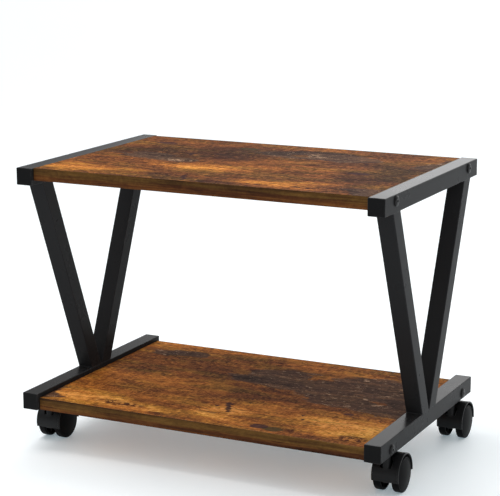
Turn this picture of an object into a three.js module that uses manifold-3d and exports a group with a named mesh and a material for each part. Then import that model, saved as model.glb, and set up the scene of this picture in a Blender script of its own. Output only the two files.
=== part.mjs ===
// Mobile printer stand: two board shelves bolted between two welded steel side frames,
// each side frame two rails joined by a V of legs, on four swivelling twin-wheel casters.
// Millimetres. +X right, +Y back, +Z up; the origin is on the floor under the middle.

import * as THREE from "three";
import { mergeVertices } from "three/addons/utils/BufferGeometryUtils.js";
import Module from "manifold-3d";

const wasm = await Module();
wasm.setup();

// ---------------------------------------------------------------------------
// Driving dimensions
// ---------------------------------------------------------------------------

// Side frames
const frameLength = 570; // X, over the outer faces of the rails
const frameDepth = 370; // Y, over the end caps
const sideFrameHeight = 362; // Z, underside of the bottom rail to the top of the top rail
const tubeSize = 25; // square tube, outside
const tubeWall = 1.5;
const tubeCorner = 1.2; // outside corner radius
const legTopInset = 29.6; // end of the rail to the outer edge of a leg's top
const legFootGap = 0.8; // between the two legs' feet, at the point of the V
const weldGap = 0.3; // between a leg and the rail that it stands on

// End caps
const capPlate = 2; // thickness of the visible plate
const capPlug = 10; // how far the plug reaches into the tube
const capPlugWall = 1.6;
const capSeatGap = 0.2; // plate to the end of the tube

// Shelves
const boardThickness = 18;
const boardSetback = 6; // end of the rail to the front or rear edge of a shelf
const boardEndGap = 0.4; // end of a shelf to the rail
const bandThickness = 1;
const bandGap = 0.2;

// Shelf bolts and the insert nuts in the ends of the shelves
const boltInset = 39; // end of the rail to a bolt
const boltRadius = 3;
const boltHeadRadius = 7.2;
const boltHeadHeight = 2.2;
const boltHeadRim = 0.8; // straight part of the head, below its dome
const boltSocket = 4; // across the flats of the hexagon
const boltSocketDepth = 1.6;
const boltSeatGap = 0.3;
const insertRadius = 5;
const insertLength = 15;
const insertSink = 0.5; // insert nut below the end of the shelf
const insertBottomGap = 1; // end of the insert nut to the bottom of its hole
const boltTipInset = 1.5; // bolt's tip inside the far end of the insert nut

// Casters
const casterInset = 53; // end of the rail to the stem
const wheelRadius = 25;
const wheelWidth = 11; // tread
const wheelPlay = 8.2; // middle of the caster to the inner face of a wheel
const wheelEdge = 1.6; // chamfer of the tread
const wheelRim = 3; // thickness of the rim under the tread
const wheelDisc = 2.2; // thickness of the closed outer face
const wheelDome = 2.4; // bulge of the outer face
const wheelHubRadius = 6;
const axleRadius = 3;
const axleEndGap = 1.2; // end of the axle to the inside of the wheel's outer face
const trail = 21; // stem to axle
const hoodGap = 1.4; // hood's inside radius beyond the tread's
const hoodWall = 2.2;
const hoodRise = 2.6; // centre of the hood above the axle
const hoodOverlap = 0.8; // hood beyond the outer edge of the tread
const hoodRearAngle = -6; // degrees above the level of its centre, behind the axle
const hoodFrontAngle = 195; // the same, carried over the top to the front
const hoodHeadroom = 5.8; // top of the hood to the underside of the rail
const webThickness = 7;
const webRearAngle = 70;
const housingHubRadius = 6;
const housingHubGap = 0.6; // housing's hub to a wheel's hub
const bossRadius = 5.6;
const bossBelowRail = 4.4; // top of the boss to the underside of the rail
const bossBottomAboveAxle = 5;
const recessRadius = 9.2; // opening in the hood round the boss
const recessAboveAxle = 14.5;
const stemPinRadius = 3.6; // in the boss
const stemThreadRadius = 4; // in the rail
const stemPinDepth = 20; // length of the pin inside the boss
const stemThreadLength = 14;
const stemCollarRadius = 6.5;
const stemCollarGap = 0.4; // collar to the boss, and collar to the rail
const weldNutRadius = 6.5;
const weldNutHeight = 6.5;

// Clearances between a round piece and the hole that it sits or turns in
const seatClearance = 0.3;
const runningClearance = 0.35;

// Facets of round shapes
const boltFacets = 16;
const stemFacets = 16;
const wheelFacets = 24;
const hoodFacets = 24;

// ---------------------------------------------------------------------------
// Places worked out from them
// ---------------------------------------------------------------------------

const hoodOuterRadius = wheelRadius + hoodGap + hoodWall;
const hoodCentreZ = wheelRadius + hoodRise;
const casterHeight = hoodCentreZ + hoodOuterRadius + hoodHeadroom;
const topLevel = casterHeight + sideFrameHeight;
const railX = frameLength / 2 - tubeSize / 2;
const bottomRailZ = casterHeight + tubeSize / 2;
const topRailZ = topLevel - tubeSize / 2;
const lowerShelfZ = casterHeight + boardThickness / 2;
const upperShelfZ = topLevel - boardThickness / 2;
const boltY = frameDepth / 2 - boltInset;
const casterY = frameDepth / 2 - casterInset;
const boardLength = frameLength - 2 * tubeSize - 2 * boardEndGap;
const shelfDepth = frameDepth - 2 * boardSetback;
const boardDepth = shelfDepth - 2 * (bandThickness + bandGap);
const tubeInside = tubeSize - 2 * tubeWall;
const railTubeLength = frameDepth - 2 * (capPlate + capSeatGap);
const wheelOuterFace = wheelPlay + wheelWidth;
const overrun = 1; // how far a cutting shape runs past what it cuts

// ---------------------------------------------------------------------------
// Tools: outlines, solids and placing
// ---------------------------------------------------------------------------

function roundedRectangle(outline, width, height, radius) {
  const x = width / 2 - radius;
  const y = height / 2 - radius;
  outline.absarc(x, y, radius, 0, Math.PI / 2);
  outline.absarc(-x, y, radius, Math.PI / 2, Math.PI);
  outline.absarc(-x, -y, radius, Math.PI, 1.5 * Math.PI);
  outline.absarc(x, -y, radius, 1.5 * Math.PI, 2 * Math.PI);
  outline.closePath();
  return outline;
}

function extrude(outline, depth, curveSegments = 2) {
  return new THREE.ExtrudeGeometry(outline, { depth, bevelEnabled: false, curveSegments });
}

function tubeOutline(width, height, wallX, wallY, corner) {
  const outline = roundedRectangle(new THREE.Shape(), width, height, corner);
  const innerCorner = Math.max(corner - Math.min(wallX, wallY), 0.3);
  const inside = roundedRectangle(new THREE.Path(), width - 2 * wallX, height - 2 * wallY, innerCorner);
  outline.holes.push(inside);
  return outline;
}

function solid(geometry) {
  const bare = geometry.index ? geometry.toNonIndexed() : geometry.clone();
  bare.deleteAttribute("normal");
  bare.deleteAttribute("uv");
  const merged = mergeVertices(bare, 1e-4);
  const mesh = new wasm.Mesh({
    numProp: 3,
    vertProperties: new Float32Array(merged.attributes.position.array),
    triVerts: new Uint32Array(merged.index.array),
  });
  return new wasm.Manifold(mesh);
}

function geometryOf(manifold) {
  const mesh = manifold.getMesh();
  const geometry = new THREE.BufferGeometry();
  geometry.setAttribute("position", new THREE.BufferAttribute(mesh.vertProperties, 3));
  geometry.setIndex(new THREE.BufferAttribute(mesh.triVerts, 1));
  return geometry;
}

// A solid cylinder with its axis along X, Y or Z, from one place on that axis to another.
function cylinderAlong(axis, radius, from, to, facets, across = [0, 0]) {
  const geometry = new THREE.CylinderGeometry(radius, radius, to - from, facets);
  geometry.translate(0, (from + to) / 2, 0);
  if (axis === "x") {
    geometry.rotateZ(-Math.PI / 2);
    geometry.translate(0, across[0], across[1]);
  } else if (axis === "z") {
    geometry.rotateX(Math.PI / 2);
    geometry.translate(across[0], across[1], 0);
  } else {
    geometry.translate(across[0], 0, across[1]);
  }
  return geometry;
}

// Turns an outline drawn in Y and Z, and extruded, so that its depth runs along X.
function alongX(geometry) {
  const basis = new THREE.Matrix4().makeBasis(
    new THREE.Vector3(0, 1, 0),
    new THREE.Vector3(0, 0, 1),
    new THREE.Vector3(1, 0, 0),
  );
  return geometry.applyMatrix4(basis);
}

function named(name, geometry, material) {
  const mesh = new THREE.Mesh(geometry, material);
  mesh.name = name;
  return mesh;
}

// ---------------------------------------------------------------------------
// Materials
// ---------------------------------------------------------------------------

const finishes = {
  frameSteel: [0x2c2d2e, 0.45, 0.5],
  board: [0x9a6230, 0.6, 0],
  edgeBand: [0x5c3d22, 0.6, 0],
  capPlastic: [0x1e1e1e, 0.55, 0],
  boltSteel: [0x242424, 0.4, 0.6],
  insertSteel: [0x9d9d98, 0.4, 1],
  stemSteel: [0x2b2c2e, 0.4, 1],
  casterPlastic: [0x1b1b1b, 0.45, 0],
};

function makeMaterial(finish) {
  const [color, roughness, metalness] = finishes[finish];
  return new THREE.MeshStandardMaterial({ color, roughness, metalness });
}

// ---------------------------------------------------------------------------
// Side frames
// ---------------------------------------------------------------------------

// A rail lies along Y. Its two bolt holes go through both of its walls.
function railSolid(boltZ) {
  const outline = tubeOutline(tubeSize, tubeSize, tubeWall, tubeWall, tubeCorner);
  const bar = extrude(outline, railTubeLength);
  bar.translate(0, 0, -railTubeLength / 2);
  bar.rotateX(Math.PI / 2);
  let rail = solid(bar);
  const reach = tubeSize / 2 + overrun;
  for (const y of [-boltY, boltY]) {
    const hole = cylinderAlong("x", boltRadius + seatClearance, -reach, reach, boltFacets, [y, boltZ]);
    rail = rail.subtract(solid(hole));
  }
  return rail;
}

// The bottom rail has a nut welded inside over each stem hole.
function bottomRailSolid(boltZ) {
  let rail = railSolid(boltZ);
  const floor = -tubeSize / 2;
  const nutTop = floor + tubeWall + weldNutHeight;
  for (const y of [-casterY, casterY]) {
    const nut = cylinderAlong("z", weldNutRadius, floor + tubeWall / 2, nutTop, 6, [0, y]);
    const radius = stemThreadRadius + seatClearance;
    const hole = cylinderAlong("z", radius, floor - overrun, nutTop + overrun, stemFacets, [0, y]);
    rail = rail.add(solid(nut)).subtract(solid(hole));
  }
  return rail;
}

// A leg is cut level at both ends, so its level section is wider than the tube by the slope.
const legRun = frameDepth / 2 - legTopInset - legFootGap / 2;
const legRise = sideFrameHeight - 2 * tubeSize;
const legWidth = levelWidthOfLeg();
const legSlope = (legRun - legWidth) / legRise;

function levelWidthOfLeg() {
  let width = tubeSize;
  for (let pass = 0; pass < 12; pass += 1) {
    width = tubeSize * Math.hypot(1, (legRun - width) / legRise);
  }
  return width;
}

// Its foot is at the origin, and it leans towards +Y (toward = 1) or -Y (toward = -1).
function legGeometry(toward) {
  const slopedWall = (tubeWall * legWidth) / tubeSize;
  const outline = tubeOutline(tubeSize, legWidth, tubeWall, slopedWall, tubeCorner);
  const leg = extrude(outline, legRise - 2 * weldGap);
  leg.translate(0, 0, weldGap);
  const lean = new THREE.Matrix4();
  lean.elements[9] = toward * legSlope; // Y grows with Z
  return leg.applyMatrix4(lean);
}

function capGeometry() {
  const plate = extrude(roundedRectangle(new THREE.Shape(), tubeSize, tubeSize, tubeCorner), capPlate);
  const plugSize = tubeInside - 2 * seatClearance;
  const plugOutline = tubeOutline(plugSize, plugSize, capPlugWall, capPlugWall, capPlugWall);
  const plug = extrude(plugOutline, capPlate / 2 + capPlug);
  plug.translate(0, 0, capPlate / 2);
  const cap = geometryOf(solid(plate).add(solid(plug)));
  cap.rotateX(-Math.PI / 2); // its plug now points along +Y
  return cap;
}

function sideFrame(sideName, side) {
  const group = new THREE.Group();
  group.position.x = side * railX;
  const steel = () => makeMaterial("frameSteel");

  const topRail = named(`${sideName}_top_rail`, geometryOf(railSolid(upperShelfZ - topRailZ)), steel());
  topRail.position.z = topRailZ;
  const bottomRail = named(
    `${sideName}_bottom_rail`,
    geometryOf(bottomRailSolid(lowerShelfZ - bottomRailZ)),
    steel(),
  );
  bottomRail.position.z = bottomRailZ;
  group.add(topRail, bottomRail);

  for (const [endName, toward] of [["front", -1], ["rear", 1]]) {
    const leg = named(`${sideName}_${endName}_leg`, legGeometry(toward), steel());
    const footY = (legFootGap + legWidth) / 2;
    leg.position.set(0, toward * footY, bottomRailZ + tubeSize / 2);
    group.add(leg);

    for (const [levelName, z] of [["top", topRailZ], ["bottom", bottomRailZ]]) {
      const capName = `${sideName}_${levelName}_${endName}_end_cap`;
      const cap = named(capName, capGeometry(), makeMaterial("capPlastic"));
      cap.position.set(0, (toward * frameDepth) / 2, z);
      cap.rotation.z = toward > 0 ? Math.PI : 0;
      group.add(cap);
    }
  }
  return group;
}

// ---------------------------------------------------------------------------
// Shelves and their fasteners
// ---------------------------------------------------------------------------

function boardGeometry() {
  let board = solid(new THREE.BoxGeometry(boardLength, boardDepth, boardThickness));
  const holeDepth = insertSink + insertLength + insertBottomGap;
  for (const side of [-1, 1]) {
    for (const y of [-boltY, boltY]) {
      const end = (side * boardLength) / 2;
      const from = Math.min(end - side * holeDepth, end + side * overrun);
      const to = Math.max(end - side * holeDepth, end + side * overrun);
      const hole = cylinderAlong("x", insertRadius + seatClearance, from, to, boltFacets, [y, 0]);
      board = board.subtract(solid(hole));
    }
  }
  return geometryOf(board);
}

// The threaded sleeve in the end of a shelf. Its mouth is at the origin and it runs to -X.
function insertNutGeometry() {
  const bore = boltRadius + seatClearance;
  const profile = [
    new THREE.Vector2(bore, -insertLength),
    new THREE.Vector2(insertRadius, -insertLength),
    new THREE.Vector2(insertRadius, 0),
    new THREE.Vector2(bore, 0),
    new THREE.Vector2(bore, -insertLength),
  ];
  const nut = new THREE.LatheGeometry(profile, boltFacets);
  nut.rotateZ(-Math.PI / 2);
  return nut;
}

// A low-domed bolt along X: the underside of its head is at the origin, its shank runs to -X.
function boltGeometry() {
  const boardEndInset = tubeSize + boardEndGap + insertSink;
  const shank = boltSeatGap + boardEndInset + insertLength - boltTipInset;
  const domeEdge = boltHeadRadius * 0.72;
  const profile = [
    new THREE.Vector2(0, -shank),
    new THREE.Vector2(boltRadius, -shank),
    new THREE.Vector2(boltRadius, 0),
    new THREE.Vector2(boltHeadRadius, 0),
    new THREE.Vector2(boltHeadRadius, boltHeadRim),
    new THREE.Vector2(domeEdge, boltHeadHeight * 0.9),
    new THREE.Vector2(0, boltHeadHeight),
  ];
  const body = new THREE.LatheGeometry(profile, boltFacets);
  const socketRadius = boltSocket / Math.sqrt(3);
  const socket = new THREE.CylinderGeometry(socketRadius, socketRadius, 2 * boltSocketDepth, 6);
  socket.translate(0, boltHeadHeight, 0);
  const bolt = geometryOf(solid(body).subtract(solid(socket)));
  bolt.rotateZ(-Math.PI / 2); // its head now points along +X
  return bolt;
}

function shelf(levelName, z) {
  const group = new THREE.Group();
  group.position.z = z;
  group.add(named(`${levelName}_shelf_board`, boardGeometry(), makeMaterial("board")));

  for (const [endName, toward] of [["front", -1], ["rear", 1]]) {
    const strip = new THREE.BoxGeometry(boardLength, bandThickness, boardThickness);
    const band = named(`${levelName}_shelf_${endName}_edge_band`, strip, makeMaterial("edgeBand"));
    band.position.y = (toward * (shelfDepth - bandThickness)) / 2;
    group.add(band);

    for (const [sideName, side] of [["left", -1], ["right", 1]]) {
      const place = `${levelName}_${sideName}_${endName}`;
      const nut = named(`${place}_insert_nut`, insertNutGeometry(), makeMaterial("insertSteel"));
      nut.position.set(side * (boardLength / 2 - insertSink), toward * boltY, 0);
      const bolt = named(`${place}_bolt`, boltGeometry(), makeMaterial("boltSteel"));
      bolt.position.set(side * (frameLength / 2 + boltSeatGap), toward * boltY, 0);
      for (const piece of [nut, bolt]) {
        piece.rotation.z = side > 0 ? 0 : Math.PI;
        group.add(piece);
      }
    }
  }
  return group;
}

// ---------------------------------------------------------------------------
// Casters: the origin is on the floor under the stem, and the wheels trail towards +Y
// ---------------------------------------------------------------------------

const axleReach = wheelOuterFace - wheelDisc - axleEndGap; // middle of the caster to its tip
const hoodHalfWidth = wheelOuterFace + hoodOverlap;
const wheelHubInner = webThickness / 2 + 2; // middle of the caster to a wheel's hub
const collarTop = casterHeight - stemCollarGap;
const bossTop = casterHeight - bossBelowRail;

function arcBand(outerRadius, innerRadius, fromDegrees, toDegrees) {
  const from = THREE.MathUtils.degToRad(fromDegrees);
  const to = THREE.MathUtils.degToRad(toDegrees);
  const outline = new THREE.Shape();
  outline.absarc(trail, hoodCentreZ, outerRadius, from, to, false);
  if (innerRadius > 0) {
    outline.absarc(trail, hoodCentreZ, innerRadius, to, from, true);
  } else {
    outline.lineTo(trail, hoodCentreZ);
  }
  outline.closePath();
  return outline;
}

function housingGeometry() {
  const hoodInner = hoodOuterRadius - hoodWall;
  const hoodOutline = arcBand(hoodOuterRadius, hoodInner, hoodRearAngle, hoodFrontAngle);
  const hoodShape = extrude(hoodOutline, 2 * hoodHalfWidth, hoodFacets / 2);
  hoodShape.translate(0, 0, -hoodHalfWidth);
  const recess = cylinderAlong("z", recessRadius, wheelRadius + recessAboveAxle, casterHeight, 20);
  const hood = solid(alongX(hoodShape)).subtract(solid(recess));

  const webOutline = arcBand(hoodOuterRadius - hoodWall / 2, 0, webRearAngle, hoodFrontAngle);
  const webShape = extrude(webOutline, webThickness, 7);
  webShape.translate(0, 0, -webThickness / 2);
  const web = solid(alongX(webShape));

  const axlePlace = [trail, wheelRadius];
  const hubReach = wheelHubInner - housingHubGap;
  const hub = solid(cylinderAlong("x", housingHubRadius, -hubReach, hubReach, 16, axlePlace));
  const boss = solid(cylinderAlong("z", bossRadius, wheelRadius + bossBottomAboveAxle, bossTop, 20));
  const axleHole = cylinderAlong("x", axleRadius + seatClearance, -hubReach * 2, hubReach * 2, 16, axlePlace);
  const pinHoleBottom = bossTop - stemPinDepth - 1;
  const pinHole = cylinderAlong("z", stemPinRadius + runningClearance, pinHoleBottom, casterHeight, stemFacets);
  return geometryOf(
    hood.add(web).add(hub).add(boss).subtract(solid(axleHole)).subtract(solid(pinHole)),
  );
}

// A wheel turns on X. It is hollow on its inner side, and its outer face points to +X.
function wheelGeometry() {
  const discInside = wheelOuterFace - wheelDisc;
  const bore = axleRadius + runningClearance;
  const rimInside = wheelRadius - wheelRim;
  const profile = [
    new THREE.Vector2(0, discInside),
    new THREE.Vector2(bore, discInside),
    new THREE.Vector2(bore, wheelHubInner),
    new THREE.Vector2(wheelHubRadius, wheelHubInner),
    new THREE.Vector2(wheelHubRadius, discInside),
    new THREE.Vector2(rimInside, discInside),
    new THREE.Vector2(rimInside, wheelPlay),
    new THREE.Vector2(wheelRadius - wheelEdge, wheelPlay),
    new THREE.Vector2(wheelRadius, wheelPlay + wheelEdge),
    new THREE.Vector2(wheelRadius, wheelOuterFace - wheelEdge),
    new THREE.Vector2(wheelRadius - wheelEdge, wheelOuterFace),
    new THREE.Vector2(wheelRadius * 0.6, wheelOuterFace + wheelDome * 0.75),
    new THREE.Vector2(0, wheelOuterFace + wheelDome),
  ];
  const wheel = new THREE.LatheGeometry(profile, wheelFacets);
  wheel.rotateZ(-Math.PI / 2);
  return wheel;
}

function stemGeometry() {
  const collarBottom = bossTop + stemCollarGap;
  const pinBottom = bossTop - stemPinDepth;
  const collar = cylinderAlong("z", stemCollarRadius, collarBottom, collarTop, 6);
  const pin = cylinderAlong("z", stemPinRadius, pinBottom, collarTop - 1, stemFacets);
  const threadTop = casterHeight + stemThreadLength;
  const thread = cylinderAlong("z", stemThreadRadius, collarTop - 1, threadTop, stemFacets);
  return geometryOf(solid(collar).add(solid(pin)).add(solid(thread)));
}

function caster(placeName, side, toward) {
  const group = new THREE.Group();
  group.position.set(side * railX, toward * casterY, 0);
  const plastic = () => makeMaterial("casterPlastic");

  group.add(named(`${placeName}_caster_stem`, stemGeometry(), makeMaterial("stemSteel")));
  group.add(named(`${placeName}_caster_housing`, housingGeometry(), plastic()));

  const axleBar = cylinderAlong("x", axleRadius, -axleReach, axleReach, 16);
  const axle = named(`${placeName}_caster_axle`, axleBar, makeMaterial("stemSteel"));
  axle.position.set(0, trail, wheelRadius);
  group.add(axle);

  for (const [wheelName, faces] of [["outer", side], ["inner", -side]]) {
    const wheel = named(`${placeName}_caster_${wheelName}_wheel`, wheelGeometry(), plastic());
    wheel.position.set(0, trail, wheelRadius);
    wheel.rotation.z = faces > 0 ? 0 : Math.PI;
    group.add(wheel);
  }
  return group;
}

// ---------------------------------------------------------------------------
// The stand
// ---------------------------------------------------------------------------

const stand = new THREE.Group();
stand.add(sideFrame("left", -1));
stand.add(sideFrame("right", 1));
stand.add(shelf("lower", lowerShelfZ));
stand.add(shelf("upper", upperShelfZ));
for (const [endName, toward] of [["front", -1], ["rear", 1]]) {
  stand.add(caster(`${endName}_left`, -1, toward));
  stand.add(caster(`${endName}_right`, 1, toward));
}

export default stand;
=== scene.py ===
from contextlib import contextmanager
from math import cos, hypot, pi, radians, sin

import bmesh
import bpy
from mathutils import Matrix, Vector


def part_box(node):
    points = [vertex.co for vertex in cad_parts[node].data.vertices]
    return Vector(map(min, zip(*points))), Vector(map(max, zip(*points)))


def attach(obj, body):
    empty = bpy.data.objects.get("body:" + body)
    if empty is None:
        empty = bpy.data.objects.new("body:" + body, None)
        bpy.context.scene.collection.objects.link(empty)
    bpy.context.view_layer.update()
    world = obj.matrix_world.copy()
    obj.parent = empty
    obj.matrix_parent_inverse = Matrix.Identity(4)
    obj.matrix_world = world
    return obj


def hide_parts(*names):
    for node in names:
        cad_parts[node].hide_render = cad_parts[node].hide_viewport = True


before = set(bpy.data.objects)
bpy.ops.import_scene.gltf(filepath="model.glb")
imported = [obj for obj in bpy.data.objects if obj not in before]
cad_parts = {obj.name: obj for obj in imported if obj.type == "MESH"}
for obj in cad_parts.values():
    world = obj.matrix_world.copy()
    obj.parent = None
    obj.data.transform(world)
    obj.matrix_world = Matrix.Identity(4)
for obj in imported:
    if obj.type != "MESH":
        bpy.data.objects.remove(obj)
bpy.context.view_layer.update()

MM = 0.001

SIDES = (("left", -1), ("right", 1))
ENDS = (("front", -1), ("rear", 1))

# ----------------------------
# Camera, floor and light
# ----------------------------

CAMERA_PLACE = Vector((1.0785, -2.2056, 0.8239))
CAMERA_AZIMUTH = 26.076
CAMERA_ELEVATION = 12.120
CAMERA_LENS = 122.23

SKY_TOP = 1.05
SKY_LOW_BEHIND = 0.50
SKY_LOW_FRONT = 0.27
SKY_RISE_FRONT = (0.05, 0.50)  # heights of the sky between which it brightens, in front and behind
SKY_RISE_BEHIND = (0.0, 0.60)
SKY_TURN = (-0.25, 0.55)  # from the front of the sky to the part behind the stand
CARD_DIRECTION = (-0.02, 0.97, 0.24)
CARD_EDGE = (0.86, 0.95)
CARD_STRENGTH = 3.3
LAMP_PLACE = (-0.9, -0.1, 2.6)
LAMP_TARGET = (0, 0, 0.2)
LAMP_SIZE = (1.0, 1.4)
LAMP_POWER = 22
FLOOR_SIZE = 60
FLOOR_GREY = (0.88, 0.88, 0.88, 1)
FLOOR_GLOW = 0.22
FLOOR_GLOW_COLOUR = (0.79, 1.0, 1.10, 1)


def make_camera():
    data = bpy.data.cameras.new("camera")
    data.sensor_width = 36
    data.lens = CAMERA_LENS
    data.clip_end = 200
    camera = bpy.data.objects.new("camera", data)
    camera.location = CAMERA_PLACE
    camera.rotation_euler = (radians(90 - CAMERA_ELEVATION), 0, radians(CAMERA_AZIMUTH))
    bpy.context.scene.collection.objects.link(camera)
    bpy.context.scene.camera = camera


def make_overhead_lamp():
    data = bpy.data.lights.new("overhead", "AREA")
    data.shape = "RECTANGLE"
    data.size, data.size_y = LAMP_SIZE
    data.energy = LAMP_POWER
    lamp = bpy.data.objects.new("overhead", data)
    lamp.location = LAMP_PLACE
    aim = Vector(LAMP_TARGET) - Vector(LAMP_PLACE)
    lamp.rotation_euler = aim.to_track_quat("-Z", "Y").to_euler()
    bpy.context.scene.collection.objects.link(lamp)


def make_world():
    """A pale studio sky, dark low down in front, with a bright card low behind the stand.
    Looked at directly it is white."""
    world = bpy.data.worlds.new("studio")
    bpy.context.scene.world = world
    world.use_nodes = True
    world.node_tree.nodes.clear()
    w = Wiring(world.node_tree)
    direction = w.node("ShaderNodeTexCoord").outputs["Generated"]
    split = w.node("ShaderNodeSeparateXYZ")
    w.feed(split.inputs[0], direction)
    front = w.ramp(split.outputs["Z"], *SKY_RISE_FRONT, SKY_LOW_FRONT, SKY_TOP)
    behind = w.ramp(split.outputs["Z"], *SKY_RISE_BEHIND, SKY_LOW_BEHIND, SKY_TOP)
    share = w.ramp(split.outputs["Y"], *SKY_TURN)
    step = w.math("MULTIPLY", w.math("SUBTRACT", behind, front), share)
    towards_card = w.vector_math("DOT_PRODUCT", direction, CARD_DIRECTION, "Value")
    card = w.ramp(towards_card, *CARD_EDGE, 0.0, CARD_STRENGTH)
    lit = w.math("ADD", w.math("ADD", front, step), card)
    seen = w.node("ShaderNodeLightPath").outputs["Is Camera Ray"]
    background = w.node("ShaderNodeBackground")
    w.feed(background.inputs["Strength"], w.math("MAXIMUM", lit, seen))
    w.feed(w.node("ShaderNodeOutputWorld").inputs[0], background.outputs[0])


def make_stage():
    deselect_all()
    bpy.ops.mesh.primitive_plane_add(size=FLOOR_SIZE, location=(0, 0, 0))
    floor = bpy.context.object
    floor.name = "floor"
    material, shader = new_material("pale_floor")
    shader.inputs["Base Color"].default_value = FLOOR_GREY
    shader.inputs["Roughness"].default_value = 0.6
    shader.inputs["Specular IOR Level"].default_value = 0.2
    shader.inputs["Emission Color"].default_value = FLOOR_GLOW_COLOUR
    shader.inputs["Emission Strength"].default_value = FLOOR_GLOW
    floor.data.materials.append(material)
    make_overhead_lamp()
    view = bpy.context.scene.view_settings
    view.view_transform = "Standard"
    view.look = "None"


# ----------------------------
# Modelling by hand: starting, selecting, shaping and finishing a mesh
# ----------------------------


def deselect_all():
    if bpy.context.object and bpy.context.object.mode != "OBJECT":
        bpy.ops.object.mode_set(mode="OBJECT")
    bpy.ops.object.select_all(action="DESELECT")


def activate(obj):
    deselect_all()
    obj.select_set(True)
    bpy.context.view_layer.objects.active = obj


def settle(name):
    """Puts the new primitive's place and size into its mesh, and names it."""
    obj = bpy.context.object
    obj.name = name
    obj.data.name = name
    bpy.ops.object.transform_apply(location=True, rotation=True, scale=True)
    return obj


def block(name, low, high):
    deselect_all()
    low, high = Vector(low), Vector(high)
    bpy.ops.mesh.primitive_cube_add(size=1, location=(low + high) / 2, scale=high - low)
    return settle(name)


def round_bar(name, radius, start, end, sides=32):
    """A cylinder from one point to another, along one of the axes."""
    deselect_all()
    start, end = Vector(start), Vector(end)
    turn = (end - start).to_track_quat("Z", "Y").to_euler()
    bpy.ops.mesh.primitive_cylinder_add(
        vertices=sides, radius=radius, depth=(end - start).length,
        location=(start + end) / 2, rotation=turn,
    )
    return settle(name)


@contextmanager
def editing(obj, mode):
    activate(obj)
    bpy.ops.object.mode_set(mode="EDIT")
    bpy.ops.mesh.select_mode(type=mode)
    bpy.ops.mesh.select_all(action="DESELECT")
    yield
    bpy.ops.object.mode_set(mode="OBJECT")


def pick(obj, kind, test):
    """In edit mode, selects the verts, edges or faces that pass the test, and nothing else."""
    mesh = bmesh.from_edit_mesh(obj.data)
    mesh.normal_update()
    for item in (*mesh.verts, *mesh.edges, *mesh.faces):
        item.select_set(False)
    for item in getattr(mesh, kind):
        if test(item):
            item.select_set(True)
    bmesh.update_edit_mesh(obj.data)


def runs_along(axis):
    """A test for edges that lie along X, Y or Z (0, 1 or 2)."""
    def test(edge):
        step = edge.verts[1].co - edge.verts[0].co
        return abs(step[axis]) > 0.9 * step.length
    return test


def finish_with(obj, kind, **settings):
    """Adds one modifier to a piece and applies it."""
    activate(obj)
    modifier = obj.modifiers.new(kind.lower(), kind)
    for key, value in settings.items():
        setattr(modifier, key, value)
    bpy.ops.object.modifier_apply(modifier=modifier.name)
    return obj


def soften(obj, width, segments=3, angle=30):
    return finish_with(
        obj, "BEVEL", width=width, segments=segments, limit_method="ANGLE",
        angle_limit=radians(angle), harden_normals=False,
    )


def carve(obj, tool, operation="DIFFERENCE"):
    """Cuts a tool out of a piece, or joins it on, and removes the tool."""
    finish_with(obj, "BOOLEAN", object=tool, operation=operation, solver="EXACT")
    bpy.data.objects.remove(tool)
    return obj


def smooth(obj, angle=32):
    activate(obj)
    bpy.ops.object.shade_smooth_by_angle(angle=radians(angle))
    return finish_with(obj, "WEIGHTED_NORMAL", keep_sharp=True, weight=80)


def spun(name, profile, centre, start=0, turn=360, steps=64, closed=False):
    """Spins a profile of (place along X, radius) points about a line along X through centre.
    Angles are in degrees, from +Y up over +Z."""
    deselect_all()
    bpy.ops.mesh.primitive_plane_add(size=MM, location=(0, 0, 0))
    obj = settle(name)
    out_y, out_z = cos(radians(start)), sin(radians(start))
    places = [Vector((x, centre[1] + radius * out_y, centre[2] + radius * out_z)) for x, radius in profile]
    with editing(obj, "VERT"):
        bpy.ops.mesh.select_all(action="SELECT")
        bpy.ops.mesh.merge(type="CENTER")
        bpy.ops.transform.translate(value=places[0])
        for before, after in zip(places, places[1:]):
            bpy.ops.mesh.extrude_region_move(TRANSFORM_OT_translate={"value": after - before})
        bpy.ops.mesh.select_all(action="SELECT")
        if closed:
            bpy.ops.mesh.edge_face_add()
        bpy.ops.mesh.spin(steps=steps, angle=radians(turn), center=centre, axis=(-1, 0, 0))
        bpy.ops.mesh.select_all(action="SELECT")
        bpy.ops.mesh.remove_doubles(threshold=0.00001)
        bpy.ops.mesh.normals_make_consistent(inside=False)
    return obj


def placed_copy(obj, name, home, place, half_turn=False):
    """A copy with its own mesh, moved from home to place, and facing the other way if asked."""
    twin = obj.copy()
    twin.data = obj.data.copy()
    twin.name = name
    twin.data.name = name
    bpy.context.scene.collection.objects.link(twin)
    activate(twin)
    twin.location = -home
    bpy.ops.object.transform_apply(location=True, rotation=True, scale=True)
    if half_turn:
        twin.rotation_euler = (0, 0, pi)
    twin.location = place
    bpy.ops.object.transform_apply(location=True, rotation=True, scale=True)
    return twin


def middle_of(node):
    low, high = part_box(node)
    return (low + high) / 2


def hand_over(piece, body, slot, materials, *nodes):
    """Gives a finished piece its materials and body, and hides the frame nodes that it stands for. The slot
    argument is not used.
    """
    piece.data.materials.clear()
    for material in materials:
        piece.data.materials.append(material)
    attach(piece, body)
    if nodes:
        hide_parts(*nodes)


def arc(centre, radius, start, end, count):
    """Points on part of a circle, as (along, radius) pairs."""
    points = []
    for step in range(count + 1):
        angle = radians(start + (end - start) * step / count)
        points.append((centre[0] + radius * cos(angle), centre[1] + radius * sin(angle)))
    return points


# ----------------------------
# Material helpers
# ----------------------------


def new_material(name):
    material = bpy.data.materials.new(name)
    material.use_nodes = True
    return material, material.node_tree.nodes["Principled BSDF"]


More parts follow.
